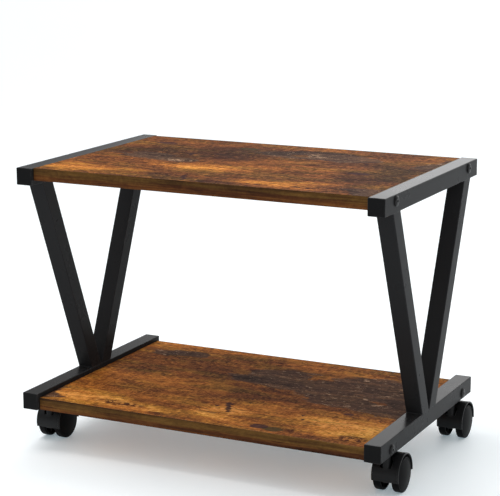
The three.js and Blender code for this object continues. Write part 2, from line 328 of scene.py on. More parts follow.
class Wiring:
    """Short ways to add and join nodes in one tree."""

    def __init__(self, tree):
        self.tree = tree

    def node(self, kind, **settings):
        made = self.tree.nodes.new(kind)
        for key, value in settings.items():
            setattr(made, key, value)
        return made

    def feed(self, socket, value):
        if isinstance(value, bpy.types.NodeSocket):
            self.tree.links.new(value, socket)
        else:
            socket.default_value = value

    def math(self, operation, a, b=0.0, clamp=False):
        made = self.node("ShaderNodeMath", operation=operation, use_clamp=clamp)
        self.feed(made.inputs[0], a)
        self.feed(made.inputs[1], b)
        return made.outputs[0]

    def ramp(self, value, low, high, out_low=0.0, out_high=1.0):
        made = self.node("ShaderNodeMapRange", interpolation_type="SMOOTHSTEP")
        self.feed(made.inputs["Value"], value)
        limits = {"From Min": low, "From Max": high, "To Min": out_low, "To Max": out_high}
        for key, number in limits.items():
            self.feed(made.inputs[key], number)
        return made.outputs["Result"]

    def noise_outputs(self, vector, stretch, detail=3.0, roughness=0.5, distortion=0.0, shift=(0, 0, 0)):
        """Noise whose cycles per metre along X, Y and Z are given."""
        mapping = self.node("ShaderNodeMapping")
        self.feed(mapping.inputs["Vector"], vector)
        mapping.inputs["Location"].default_value = shift
        mapping.inputs["Scale"].default_value = stretch
        made = self.node("ShaderNodeTexNoise")
        self.feed(made.inputs["Vector"], mapping.outputs[0])
        made.inputs["Scale"].default_value = 1.0
        made.inputs["Detail"].default_value = detail
        made.inputs["Roughness"].default_value = roughness
        made.inputs["Distortion"].default_value = distortion
        return made.outputs

    def noise(self, vector, stretch, **settings):
        return self.noise_outputs(vector, stretch, **settings)["Fac"]

    def swing(self, vector, stretch, reach):
        """Three noises in one, each from about -0.5 to 0.5 times its reach, to push a pattern about with."""
        pushed = self.vector_math("SUBTRACT", self.noise_outputs(vector, stretch)["Color"], (0.5, 0.5, 0.5))
        return self.vector_math("MULTIPLY", pushed, reach)

    def vector_math(self, operation, a, b, output="Vector"):
        made = self.node("ShaderNodeVectorMath", operation=operation)
        self.feed(made.inputs[0], a)
        self.feed(made.inputs[1], b)
        return made.outputs[output]

    def scaled(self, vector, factor):
        made = self.node("ShaderNodeVectorMath", operation="SCALE")
        self.feed(made.inputs[0], vector)
        self.feed(made.inputs["Scale"], factor)
        return made.outputs[0]

    def mix(self, amount, below, above):
        """One colour over another. The colours' sockets are found by place, as several share their names."""
        made = self.node("ShaderNodeMix", data_type="RGBA")
        self.feed(made.inputs["Factor"], amount)
        self.feed(made.inputs[6], below)
        self.feed(made.inputs[7], above)
        return made.outputs[2]

    def stain(self, base, mask, strength, colour):
        """Lays a colour over the base wherever the mask stands, at up to the given strength."""
        return self.mix(self.math("MULTIPLY", mask, strength), base, colour)

    def bump(self, height, distance, strength=1.0):
        made = self.node("ShaderNodeBump")
        made.inputs["Strength"].default_value = strength
        made.inputs["Distance"].default_value = distance
        self.feed(made.inputs["Height"], height)
        return made.outputs["Normal"]

    def place(self):
        return self.node("ShaderNodeTexCoord").outputs["Object"]

    def use(self, group, **values):
        made = self.node("ShaderNodeGroup")
        made.node_tree = group
        for key, value in values.items():
            self.feed(made.inputs[key.replace("_", " ")], value)
        return made.outputs


def linear(red, green, blue):
    """A colour given in everyday 0 to 255 steps, as the shader wants it."""
    def one(step):
        share = step / 255
        return share / 12.92 if share <= 0.04045 else ((share + 0.055) / 1.055) ** 2.4
    return (one(red), one(green), one(blue), 1.0)


def new_group(name, inputs, outputs):
    """A node group with named sockets. Returns it with its wiring, input and output nodes."""
    group = bpy.data.node_groups.new(name, "ShaderNodeTree")
    for socket_name, kind, default in inputs:
        socket = group.interface.new_socket(socket_name, in_out="INPUT", socket_type=kind)
        if default is not None:
            socket.default_value = default
    for socket_name, kind in outputs:
        group.interface.new_socket(socket_name, in_out="OUTPUT", socket_type=kind)
    wiring = Wiring(group)
    return group, wiring, wiring.node("NodeGroupInput").outputs, wiring.node("NodeGroupOutput").inputs


# ----------------------------
# Effects that several materials share
# ----------------------------


EDGE_REACH = 1.3 * MM  # how far from an edge the coating is lightened, partly as wear and partly as a painted highlight


def make_edge_wear_and_highlight():
    """A mask that is 1 on sharp and rounded outside edges, broken up by fine noise."""
    group, w, given, out = new_group(
        "edge_wear_and_highlight",
        [("Vector", "NodeSocketVector", None), ("Grain", "NodeSocketFloat", 300.0)],
        [("Mask", "NodeSocketFloat")],
    )
    inwards = w.node("ShaderNodeAmbientOcclusion", samples=6, inside=True, only_local=True)
    inwards.inputs["Distance"].default_value = EDGE_REACH
    edge = w.ramp(inwards.outputs["AO"], 0.93, 0.66)
    rough = w.noise(w.scaled(given["Vector"], given["Grain"]), (1, 1, 1), detail=2)
    w.feed(out["Mask"], w.math("MULTIPLY", edge, w.ramp(rough, 0.35, 0.6, 0.35, 1.0)))
    return group


def make_handling():
    """Soft, cloudy differences in gloss, as on any surface that has been wiped and touched."""
    group, w, given, out = new_group(
        "handling_marks",
        [("Vector", "NodeSocketVector", None), ("Amount", "NodeSocketFloat", 0.08)],
        [("Gloss Shift", "NodeSocketFloat"), ("Dust", "NodeSocketFloat")],
    )
    clouds = w.noise(given["Vector"], (14, 14, 14), detail=4, roughness=0.6)
    specks = w.noise(given["Vector"], (1900, 1900, 1900), detail=1)
    centred = w.math("SUBTRACT", clouds, 0.5)
    w.feed(out["Gloss Shift"], w.math("MULTIPLY", centred, given["Amount"]))
    w.feed(out["Dust"], w.math("MULTIPLY", w.ramp(clouds, 0.45, 0.75), w.ramp(specks, 0.55, 0.75)))
    return group


def make_fine_texture():
    """The fine even texture of powder coat and of moulded plastic, as a height."""
    group, w, given, out = new_group(
        "fine_texture",
        [("Vector", "NodeSocketVector", None), ("Pitch", "NodeSocketFloat", 1000.0)],
        [("Height", "NodeSocketFloat")],
    )
    scaled = w.scaled(given["Vector"], given["Pitch"])
    coarse = w.noise(scaled, (1, 1, 1), detail=1.5)
    fine = w.noise(scaled, (2.7, 2.7, 2.7), detail=1)
    w.feed(out["Height"], w.math("ADD", w.math("MULTIPLY", coarse, 0.7), w.math("MULTIPLY", fine, 0.3)))
    return group


def make_wood_print():
    """The printed grain of the shelves and their edge bands, with its streaks along X.
    The patterns are centred on 0.5, Cracks is a mask, and the last two are places pushed about a little
    and a lot, for the outlines of marks."""
    group, w, given, out = new_group(
        "wood_print",
        [("Vector", "NodeSocketVector", None), ("Shift", "NodeSocketVector", (0, 0, 0))],
        [("Patches", "NodeSocketFloat"), ("Bands", "NodeSocketFloat"), ("Mottle", "NodeSocketFloat"),
         ("Saw Marks", "NodeSocketFloat"), ("Pores", "NodeSocketFloat"), ("Hue", "NodeSocketFloat"),
         ("Flecks", "NodeSocketFloat"), ("Specks", "NodeSocketFloat"), ("Cracks", "NodeSocketFloat"),
         ("Ragged Vector", "NodeSocketVector"), ("Wandering Vector", "NodeSocketVector")],
    )
    place = w.vector_math("ADD", given["Vector"], given["Shift"])
    sway = w.math("SUBTRACT", w.noise(place, (6, 16, 16), detail=2), 0.5)
    sway = w.math("MULTIPLY", sway, 0.05)
    lift = w.node("ShaderNodeCombineXYZ")
    w.feed(lift.inputs["Y"], sway)
    w.feed(lift.inputs["Z"], sway)
    along = w.vector_math("ADD", place, lift.outputs[0])
    w.feed(out["Patches"], w.noise(place, (7, 16, 16), detail=4, roughness=0.55))
    w.feed(out["Bands"], w.noise(along, (8, 62, 62), detail=7, roughness=0.66, distortion=0.5))
    w.feed(out["Mottle"], w.noise(along, (120, 210, 210), detail=5, roughness=0.72, distortion=0.6))
    w.feed(out["Saw Marks"], w.noise(place, (310, 30, 30), detail=2, roughness=0.6, shift=(2.0, 9.0, 4.0)))
    w.feed(out["Pores"], w.noise(along, (200, 1300, 1300), detail=2, roughness=0.6))
    w.feed(out["Hue"], w.noise(place, (11, 38, 38), detail=3, shift=(4.0, 2.0, 1.0)))
    w.feed(out["Flecks"], w.noise(along, (95, 190, 190), detail=4, roughness=0.7, shift=(8.0, 5.0, 3.0)))
    w.feed(out["Specks"], w.noise(along, (130, 170, 170), detail=3, roughness=0.6, shift=(1.0, 6.0, 8.0)))
    vein = w.noise(along, (4, 46, 46), detail=3, roughness=0.5, shift=(0.0, 3.0, 5.0))
    from_vein = w.math("ABSOLUTE", w.math("SUBTRACT", vein, 0.5))
    broken = w.ramp(w.noise(along, (22, 60, 60), detail=3, shift=(7.0, 1.0, 2.0)), 0.47, 0.57)
    w.feed(out["Cracks"], w.math("MULTIPLY", w.ramp(from_vein, 0.0, 0.018, 1.0, 0.0), broken))
    small_swing = w.swing(given["Vector"], (60, 200, 200), (0.014, 0.010, 0.0))
    large_swing = w.swing(given["Vector"], (10, 24, 24), (0.16, 0.07, 0.0))
    ragged = w.vector_math("ADD", given["Vector"], small_swing)
    w.feed(out["Ragged Vector"], ragged)
    w.feed(out["Wandering Vector"], w.vector_math("ADD", ragged, large_swing))
    return group


def make_spot():
    """A mask that is 1 in the middle of an ellipse on a shelf and falls to 0 at its rim."""
    group, w, given, out = new_group(
        "print_spot",
        [("Vector", "NodeSocketVector", None), ("Centre", "NodeSocketVector", (0, 0, 0)),
         ("Reach", "NodeSocketVector", (1, 1, 1)), ("Core", "NodeSocketFloat", 0.5)],
        [("Mask", "NodeSocketFloat")],
    )
    away = w.vector_math("SUBTRACT", given["Vector"], given["Centre"])
    share = w.vector_math("DIVIDE", away, given["Reach"])
    flat = w.vector_math("MULTIPLY", share, (1, 1, 0))
    length = w.node("ShaderNodeVectorMath", operation="LENGTH")
    w.feed(length.inputs[0], flat)
    w.feed(out["Mask"], w.ramp(length.outputs["Value"], given["Core"], 1.0, 1.0, 0.0))
    return group


edge_wear_and_highlight = make_edge_wear_and_highlight()
handling = make_handling()
fine_texture = make_fine_texture()
wood_print = make_wood_print()
print_spot = make_spot()

# ----------------------------
# Materials
# ----------------------------


DUST = linear(170, 168, 164)
DUST_SHARE = 0.022


def coated(name, colour, worn_and_highlight_colour, roughness, pitch, depth, specular, wear_and_highlight=0.35):
    """Powder coat, moulded plastic or black oxide: one colour with fine texture, and edges lightened partly
    as wear and partly as a painted highlight.
    """
    material, shader = new_material(name)
    w = Wiring(material.node_tree)
    place = w.place()
    worn = w.use(edge_wear_and_highlight, Vector=place)["Mask"]
    marks = w.use(handling, Vector=place)
    # lighter colour along the edges: partly wear, partly a painted highlight line
    base = w.stain(colour, worn, wear_and_highlight, worn_and_highlight_colour)
    base = w.stain(base, marks["Dust"], DUST_SHARE, DUST)
    w.feed(shader.inputs["Base Color"], base)
    w.feed(shader.inputs["Roughness"], w.math("ADD", marks["Gloss Shift"], roughness, clamp=True))
    height = w.use(fine_texture, Vector=place, Pitch=pitch)["Height"]
    w.feed(shader.inputs["Normal"], w.bump(height, depth))
    shader.inputs["Specular IOR Level"].default_value = specular
    return material


def plated(name, colour, line_colour):
    """Plated steel, with fine lines left by drawing and a slightly cloudy gloss."""
    material, shader = new_material(name)
    w = Wiring(material.node_tree)
    place = w.place()
    marks = w.use(handling, Vector=place)
    lines = w.noise(place, (300, 300, 4000), detail=2)
    w.feed(shader.inputs["Base Color"], w.mix(w.ramp(lines, 0.3, 0.7), colour, line_colour))
    w.feed(shader.inputs["Roughness"], w.math("ADD", marks["Gloss Shift"], 0.34, clamp=True))
    w.feed(shader.inputs["Normal"], w.bump(lines, 0.02 * MM))
    shader.inputs["Metallic"].default_value = 1.0
    return material


# Marks in the two shelves' print, and on the upper shelf partly painted shadow, each (x, y, reach along X,
# reach along Y) in millimetres
UPPER = {
    # on the upper shelf the shade marks and the dark marks at the right end are partly painted shadow of a
    # printer that stood on it
    "dark": [(255, -152, 44, 42), (270, 110, 40, 90), (60, 98, 120, 50), (-150, -10, 80, 30)],
    "bare": [(40, 90, 30, 16), (-170, -6, 24, 12)],
    "shade": [(-70, -160, 60, 46), (30, -172, 70, 22), (-120, 60, 190, 110), (215, -20, 80, 130)],
    "bright": [(-205, -140, 80, 44), (125, -140, 105, 34), (-40, -60, 120, 40)],
    "knots": [
        (-35, -139, 5, 7), (-31, -148, 5.5, 9), (-26, -158, 5.5, 9), (-22, -167, 5, 7), (86, -157, 4, 5),
        (142, -149, 4, 4), (163, -158, 3, 4), (-120, 40, 5, 9), (-115, 30, 4, 8), (160, 60, 4, 5),
    ],
    "plum": [(180, -20, 22, 12), (-205, 120, 26, 12)],
    "moss": [(-60, 120, 24, 10)],
    "clusters": [(152, -155, 22, 10), (15, -160, 14, 9), (-60, 20, 22, 13), (90, 20, 16, 10)],
    "lines": [(-150, -120, 44, 2.2), (60, -100, 60, 2.2), (-60, 140, 60, 2.6), (120, 40, 50, 2.4)],
    "scratched": [(60, 95, 40, 20), (-130, -20, 40, 14), (240, 100, 14, 30), (10, 60, 30, 14)],
}
LOWER = {
    "dark": [(178, 44, 150, 102), (22, 66, 78, 62), (-280, -142, 62, 44), (-190, 130, 60, 24)],
    "bare": [(190, 12, 22, 18), (110, 165, 70, 26)],
    "shade": [(-60, 90, 150, 110), (-210, 70, 120, 110), (40, -10, 90, 60)],
    "bright": [(205, -118, 125, 66), (-165, -150, 120, 34), (20, -120, 70, 40)],
    "knots": [
        (4, -80, 5, 7), (8, -88, 6, 9), (12, -97, 4.5, 8), (16, -106, 6, 9), (20, -114, 5, 7),
        (-7, -97, 3.6, 4), (133, -102, 4, 5), (28, -47, 3, 4), (126, -86, 2.5, 4),
    ],
    "plum": [(90, -157, 17, 13), (183, -53, 13, 7)],
    "moss": [(112, -160, 22, 13)],
    "clusters": [(230, -154, 34, 21), (138, -156, 10, 10), (-70, -168, 20, 9), (-140, -150, 60, 12)],
    "lines": [
        (-163, -141, 40, 2.4), (36, -57, 38, 2.6), (48, -130, 36, 2.4), (-84, 92, 36, 3.4),
        (-30, 4, 24, 3), (-140, 60, 60, 3), (170, -75, 44, 2.2),
    ],
    "scratched": [
        (185, 55, 12, 20), (187, 24, 11, 16), (196, 2, 16, 11), (172, 138, 9, 20), (150, 112, 18, 10),
        (178, -22, 14, 8), (230, 90, 16, 22),
    ],
}


def spots(w, vector, entries, core):
    """The masks of several spots, joined into one."""
    total = 0.0
    for x, y, reach_x, reach_y in entries:
        mask = w.use(
            print_spot, Vector=vector, Centre=(x * MM, y * MM, 0.0),
            Reach=(reach_x * MM, reach_y * MM, 1.0), Core=core,
        )["Mask"]
        total = w.math("MAXIMUM", total, mask)
    return total


def spread(w, value, share):
    """How far a pattern stands above or below its middle, times a share."""
    return w.math("MULTIPLY", w.math("SUBTRACT", value, 0.5), share)


def blended(w, middle, pattern, shares):
    """A tone: its middle, moved up and down by a share of each of the named patterns."""
    tone = middle
    for part, share in shares:
        tone = w.math("ADD", tone, spread(w, pattern[part], share))
    return tone


def colour_ramp(w, value, stops):
    """A colour for each height of a value, from (height, red, green, blue) entries."""
    made = w.node("ShaderNodeValToRGB")
    elements = made.color_ramp.elements
    elements.remove(elements[1])
    elements[0].position = stops[0][0]
    elements[0].color = linear(*stops[0][1:])
    for position, *colour in stops[1:]:
        elements.new(position).color = linear(*colour)
    w.feed(made.inputs[0], value)
    return made.outputs[0]


# Colours from dark to light, as (tone, red, green, blue)
RED_BROWNS = [
    (0.12, 50, 31, 25), (0.30, 90, 53, 33), (0.48, 144, 85, 41), (0.66, 196, 122, 54), (0.88, 240, 168, 86),
]
OLIVE_BROWNS = [
    (0.12, 52, 38, 24), (0.30, 94, 67, 34), (0.48, 150, 102, 44), (0.66, 202, 139, 56), (0.88, 246, 188, 92),
]
WORN_BROWNS = [(0.22, 36, 26, 23), (0.42, 60, 45, 39), (0.58, 80, 59, 48), (0.80, 122, 86, 60)]
EDGE_REDS = [
    (0.25, 40, 22, 13), (0.42, 66, 37, 20), (0.55, 86, 50, 25), (0.70, 108, 66, 32), (0.82, 132, 88, 44),
]
EDGE_OLIVES = [
    (0.25, 44, 29, 15), (0.42, 70, 47, 23), (0.55, 90, 63, 30), (0.70, 112, 80, 38), (0.82, 134, 98, 50),
]
FLECK_ORANGE = linear(244, 164, 70)
SPECK_BROWN = linear(84, 48, 30)
LINE_BROWN = linear(58, 35, 27)
MOSS = linear(66, 58, 36)
PLUM = linear(62, 40, 42)
CLUSTER_BROWN = linear(66, 34, 24)
KNOT_BROWN = linear(50, 32, 36)
SCRATCH_TAN = linear(206, 166, 132)
EDGE_FLECK_BROWN = linear(44, 22, 16)

# How much each pattern moves a tone
OUTLINE_SHARES = (("Bands", 1.6), ("Mottle", 0.7))
GROUND_SHARES = (("Patches", 0.45), ("Bands", 0.72), ("Mottle", 1.05), ("Saw Marks", 0.30), ("Pores", 0.34))
WORN_SHARES = (("Bands", 1.3), ("Mottle", 0.9))
EDGE_SHARES = (("Bands", 0.45), ("Mottle", 0.40))
BRIGHT_LIFT = 0.27
SHADE_DROP = 0.15


def laminate(name, shift, middle, marks):
    """Rustic brown print: orange-brown with dark worn areas, knots, lines, saw marks and light scratches.
    Some dark and shade areas of the upper shelf are painted shadow.
    """
    material, shader = new_material(name)
    w = Wiring(material.node_tree)
    place = w.place()
    pattern = w.use(wood_print, Vector=place, Shift=shift)
    ragged = pattern["Ragged Vector"]
    wandering = pattern["Wandering Vector"]

    # Large areas, with outlines that follow the grain
    outline = blended(w, 0.0, pattern, OUTLINE_SHARES)
    bare = w.math("MULTIPLY", spots(w, wandering, marks["bare"], 0.2), 0.55)
    dark = w.math("ADD", spots(w, wandering, marks["dark"], 0.62), outline)
    dark = w.ramp(w.math("SUBTRACT", dark, bare), 0.40, 0.60)
    shade = w.ramp(w.math("ADD", spots(w, wandering, marks["shade"], 0.2), outline), 0.25, 0.75)
    bright = spots(w, wandering, marks["bright"], 0.2)

    # The ground colour, then its fine flecks and specks
    tone = w.math("ADD", middle, w.math("MULTIPLY", bright, BRIGHT_LIFT))
    tone = blended(w, tone, pattern, GROUND_SHARES)
    tone = w.math("SUBTRACT", tone, w.math("MULTIPLY", shade, SHADE_DROP))
    olive = w.ramp(pattern["Hue"], 0.44, 0.64, 0.0, 0.72)
    base = w.mix(olive, colour_ramp(w, tone, RED_BROWNS), colour_ramp(w, tone, OLIVE_BROWNS))
    fleck_share = w.ramp(bright, 0.0, 0.8, 0.22, 0.60)
    base = w.stain(base, w.ramp(pattern["Flecks"], 0.57, 0.66), fleck_share, FLECK_ORANGE)
    base = w.stain(base, w.ramp(pattern["Specks"], 0.60, 0.67), 0.70, SPECK_BROWN)

    # Worn areas, in places painted shadow, and single marks
    worn_tone = blended(w, 0.5, pattern, WORN_SHARES)
    base = w.stain(base, dark, 0.92, colour_ramp(w, worn_tone, WORN_BROWNS))
    drawn = spots(w, ragged, marks["lines"], 0.3)
    drawn = w.math("MULTIPLY", drawn, w.ramp(pattern["Mottle"], 0.40, 0.50, 0.2))
    base = w.stain(base, w.math("MAXIMUM", pattern["Cracks"], drawn), 0.75, LINE_BROWN)
    for kind, colour in (("moss", MOSS), ("plum", PLUM)):
        patch = w.math("ADD", spots(w, ragged, marks[kind], 0.5), spread(w, pattern["Mottle"], 1.8))
        base = w.stain(base, w.ramp(patch, 0.42, 0.66), 0.88, colour)
    dots = w.ramp(pattern["Specks"], 0.44, 0.50, 0.25)
    cluster = w.math("MULTIPLY", spots(w, ragged, marks["clusters"], 0.4), dots)
    base = w.stain(base, cluster, 0.95, CLUSTER_BROWN)
    base = w.stain(base, spots(w, ragged, marks["knots"], 0.5), 0.92, KNOT_BROWN)

    # Light scratches, in the dark areas only
    scratch = w.noise(place, (90, 380, 380), detail=3, roughness=0.7, shift=(3.1, 0.7, 0))
    scratched = spots(w, wandering, marks["scratched"], 0.2)
    scratched = w.math("MAXIMUM", scratched, w.math("MULTIPLY", dark, 0.15))
    scratch = w.ramp(w.math("ADD", scratch, w.math("MULTIPLY", scratched, 0.15)), 0.64, 0.71)
    base = w.stain(base, scratch, w.ramp(dark, 0.0, 0.7, 0.0, 0.75), SCRATCH_TAN)
    w.feed(shader.inputs["Base Color"], base)

    cloudy = w.use(handling, Vector=place)["Gloss Shift"]
    gloss = w.ramp(pattern["Mottle"], 0.35, 0.65, 0.68, 0.56)
    w.feed(shader.inputs["Roughness"], w.math("ADD", cloudy, gloss))
    relief = w.math("ADD", pattern["Mottle"], w.math("MULTIPLY", pattern["Saw Marks"], 0.4))
    w.feed(shader.inputs["Normal"], w.bump(relief, 0.10 * MM, 0.5))
    shader.inputs["Specular IOR Level"].default_value = 0.008
    return material


def edge_print(name, shift, bottom):
    """The printed strip on a shelf's long edges: olive above and redder below, with long streaks."""
    material, shader = new_material(name)
    w = Wiring(material.node_tree)
    place = w.place()
    pattern = w.use(wood_print, Vector=place, Shift=shift)
    layers = w.noise(place, (4, 60, 150), detail=5, roughness=0.62, distortion=0.2, shift=shift)
    tone = blended(w, w.math("ADD", 0.52, spread(w, layers, 1.1)), pattern, EDGE_SHARES)
    split = w.node("ShaderNodeSeparateXYZ")
    w.feed(split.inputs[0], place)
    level = w.math("ADD", split.outputs["Z"], spread(w, layers, 30 * MM))
    upper_part = w.ramp(level, bottom + 6 * MM, bottom + 12 * MM)
    base = w.mix(upper_part, colour_ramp(w, tone, EDGE_REDS), colour_ramp(w, tone, EDGE_OLIVES))
    flecks = w.ramp(w.noise(place, (22, 300, 420), detail=2, shift=(1.7, 0, 2.2)), 0.66, 0.74)
    w.feed(shader.inputs["Base Color"], w.stain(base, flecks, 0.75, EDGE_FLECK_BROWN))
    cloudy = w.use(handling, Vector=place)["Gloss Shift"]
    w.feed(shader.inputs["Roughness"], w.math("ADD", cloudy, 0.58, clamp=True))
    w.feed(shader.inputs["Normal"], w.bump(pattern["Mottle"], 0.06 * MM, 0.5))
    shader.inputs["Specular IOR Level"].default_value = 0.06
    return material


def particle_board(name):
    """The pressed chips that show where a shelf is cut or drilled."""
    material, shader = new_material(name)
    w = Wiring(material.node_tree)
    place = w.place()
    chips = w.node("ShaderNodeTexVoronoi")
    chips.inputs["Scale"].default_value = 420
    w.feed(chips.inputs["Vector"], place)
    fibre = w.noise(place, (500, 500, 1500), detail=3)
    split = w.node("ShaderNodeSeparateColor")
    w.feed(split.inputs[0], chips.outputs["Color"])
    base = w.mix(split.outputs[0], linear(150, 118, 80), linear(196, 164, 118))
    base = w.stain(base, w.ramp(fibre, 0.5, 0.7), 0.5, linear(104, 76, 50))
    w.feed(shader.inputs["Base Color"], base)
    w.feed(shader.inputs["Roughness"], w.ramp(fibre, 0.2, 0.8, 0.75, 0.95))
    w.feed(shader.inputs["Normal"], w.bump(chips.outputs["Distance"], 0.2 * MM, 0.7))
    return material


# the second colour of each coated finish is its lighter edge colour: partly wear, partly a painted highlight
powder_coat = coated("black_powder_coat", linear(37, 37, 38), linear(92, 92, 94), 0.28, 850, 0.02 * MM, 0.03)
cap_plastic = coated(
    "black_cap_plastic", linear(16, 16, 17), linear(84, 84, 86), 0.40, 1500, 0.015 * MM, 0.08,
)
bolt_black = coated(
    "black_bolt_finish", linear(17, 17, 18), linear(84, 83, 82), 0.32, 2200, 0.01 * MM, 0.08, wear_and_highlight=0.6,
)
nylon = coated("black_caster_nylon", linear(18, 18, 19), linear(50, 50, 51), 0.40, 1100, 0.02 * MM, 0.20)
wheel_nylon = coated(
    "black_wheel_nylon", linear(14, 14, 15), linear(44, 44, 45), 0.45, 1300, 0.015 * MM, 0.03,
)
zinc = plated("zinc_plate", linear(150, 150, 148), linear(205, 203, 196))
black_zinc = plated("black_zinc_plate", linear(34, 34, 36), linear(58, 58, 60))
# the upper shelf has the same print as the lower; its lower middle tone (0.34 against 0.48) is painted shade
upper_laminate_painted_shade = laminate("upper_laminate_painted_shade", (2.3, 1.1, 0.4), 0.34, UPPER)
lower_laminate = laminate("lower_laminate", (0.0, 0.0, 0.0), 0.48, LOWER)
upper_edge = edge_print("upper_edge_print", (1.3, 0.2, 0.9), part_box("upper_shelf_board")[0].z)
lower_edge = edge_print("lower_edge_print", (4.9, 0.6, 2.7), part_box("lower_shelf_board")[0].z)
chipboard = particle_board("particle_board")

# ----------------------------
# Side frames
# ----------------------------

TUBE_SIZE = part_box("left_top_rail")[1].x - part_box("left_top_rail")[0].x
TUBE_WALL = 1.5 * MM
TUBE_CORNER = 1.2 * MM
BOLT_HOLE = 3.3 * MM
STEM_HOLE = 4.3 * MM
STEM_HOLE_DEPTH = 12 * MM
OVERRUN = 10 * MM
WELD = 1.3 * MM
WELD_CORNER = 1.2 * MM
WELD_PROUD = 0.2 * MM
WELD_RIPPLE = 0.10


def open_tube(obj, axis, ends):
    """Turns a block into a tube: opens its two ends, rounds its long edges and gives it a wall."""
    def at_an_end(face):
        return any(abs(face.calc_center_median()[axis] - end) < 0.01 * MM for end in ends)
    with editing(obj, "FACE"):
        pick(obj, "faces", at_an_end)
        bpy.ops.mesh.delete(type="FACE")
    with editing(obj, "EDGE"):
        pick(obj, "edges", lambda edge: not edge.is_boundary)
        bpy.ops.mesh.bevel(offset=TUBE_CORNER, segments=6, affect="EDGES")
    return finish_with(obj, "SOLIDIFY", thickness=TUBE_WALL, offset=-1, use_even_offset=True)


def make_rail(name, side_name, level, stems):
    """A tube drilled right through for its shelf's bolts, and from below for any caster stems."""
    low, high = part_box(name)
    rail = block(f"{name}_tube", low, high)
    open_tube(rail, 1, (low.y, high.y))
    for end_name, _ in ENDS:
        bolt = middle_of(f"{level}_{side_name}_{end_name}_bolt")
        start = (low.x - OVERRUN, bolt.y, bolt.z)
        end = (high.x + OVERRUN, bolt.y, bolt.z)
        carve(rail, round_bar("drill", BOLT_HOLE, start, end))
        if stems:
            stem = middle_of(f"{end_name}_{side_name}_caster_stem")
            start = (stem.x, stem.y, low.z - OVERRUN)
            end = (stem.x, stem.y, low.z + STEM_HOLE_DEPTH)
            carve(rail, round_bar("drill", STEM_HOLE, start, end))
    smooth(rail)
    hand_over(rail, "frame", "frame_steel", [powder_coat], name)


def make_leg(name, head, foot):
    """A leaning tube between two heights, cut level at both ends.
    Gives its X, its foot's nearer and further Y, and how far it leans for each metre of height."""
    low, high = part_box(name)
    toward = 1 if "rear" in name else -1
    near = min(abs(low.y), abs(high.y))
    reach = max(abs(low.y), abs(high.y)) - near
    rise = high.z - low.z
    width = leg_width(reach, rise)
    lean = toward * (reach - width) / rise
    inner = toward * near
    outer = toward * (near + width)
    start = (low.x, min(inner, outer), foot)
    end = (high.x, max(inner, outer), head)
    leg = block(f"{name}_tube", start, end)
    with editing(leg, "VERT"):
        pick(leg, "verts", lambda vert: vert.co.z > (head + foot) / 2)
        bpy.ops.transform.translate(value=(0, lean * (head - foot), 0))
    open_tube(leg, 2, (foot, head))
    smooth(leg)
    hand_over(leg, "frame", "frame_steel", [powder_coat], name)
    return (low.x + high.x) / 2, inner, outer, lean


def leg_width(reach, rise):
    """The level width of a leaning square tube, from how far it reaches in all."""
    width = TUBE_SIZE
    for _ in range(12):
        width = TUBE_SIZE * hypot(1, (reach - width) / rise)
    return width


def make_weld(name, x, y_one, y_two, z):
    """The bead round one end of a leg, level with the tube's flat sides and proud of the others."""
    low_y, high_y = min(y_one, y_two), max(y_one, y_two)
    middle = Vector((x, (low_y + high_y) / 2, z))
    deselect_all()
    bpy.ops.mesh.primitive_plane_add(size=1, location=middle)
    bead = bpy.context.object
    bead.scale = (TUBE_SIZE - 2 * WELD, high_y - low_y + 2 * WELD_PROUD, 1)
    settle(name)
    with editing(bead, "EDGE"):
        bpy.ops.mesh.select_all(action="SELECT")
        bpy.ops.mesh.delete(type="ONLY_FACE")
        bpy.ops.mesh.select_all(action="SELECT")
        bpy.ops.mesh.select_mode(type="VERT")
        bpy.ops.mesh.bevel(offset=WELD_CORNER, segments=3, affect="VERTICES")
        bpy.ops.mesh.select_mode(type="EDGE")
        bpy.ops.mesh.select_all(action="SELECT")
        bpy.ops.mesh.subdivide(number_cuts=4)
    activate(bead)
    bpy.ops.object.convert(target="CURVE")
    curve = bpy.context.object
    curve.data.bevel_depth = WELD
    curve.data.bevel_resolution = 3
    for number, point in enumerate(curve.data.splines[0].points):
        point.radius = 1.0 + WELD_RIPPLE * sin(number * 2.1)
    bpy.ops.object.convert(target="MESH")
    bead = bpy.context.object
    with editing(bead, "FACE"):
        bpy.ops.mesh.select_all(action="SELECT")
        bpy.ops.mesh.remove_doubles(threshold=0.00001)
        bpy.ops.mesh.normals_make_consistent(inside=False)
    smooth(bead, 60)
    hand_over(bead, "frame", "frame_steel", [powder_coat])


def make_side_frames():
    for side_name, _ in SIDES:
        make_rail(f"{side_name}_top_rail", side_name, "upper", stems=False)
        make_rail(f"{side_name}_bottom_rail", side_name, "lower", stems=True)
        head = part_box(f"{side_name}_top_rail")[0].z
        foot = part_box(f"{side_name}_bottom_rail")[1].z
        for end_name, _ in ENDS:
            name = f"{side_name}_{end_name}_leg"
            x, inner, outer, lean = make_leg(name, head, foot)
            shift = lean * (head - foot)
            make_weld(f"{name}_foot_weld", x, inner, outer, foot)
            make_weld(f"{name}_head_weld", x, inner + shift, outer + shift, head)


# ----------------------------
# End caps
# ----------------------------

CAP_PLATE = 2.0 * MM
CAP_EDGE = 0.45 * MM
PLUG_MARGIN = 1.8 * MM
PLUG_WALL = 1.6 * MM
PLUG_HOLLOW = 8.5 * MM
PLUG_EDGE = 0.4 * MM


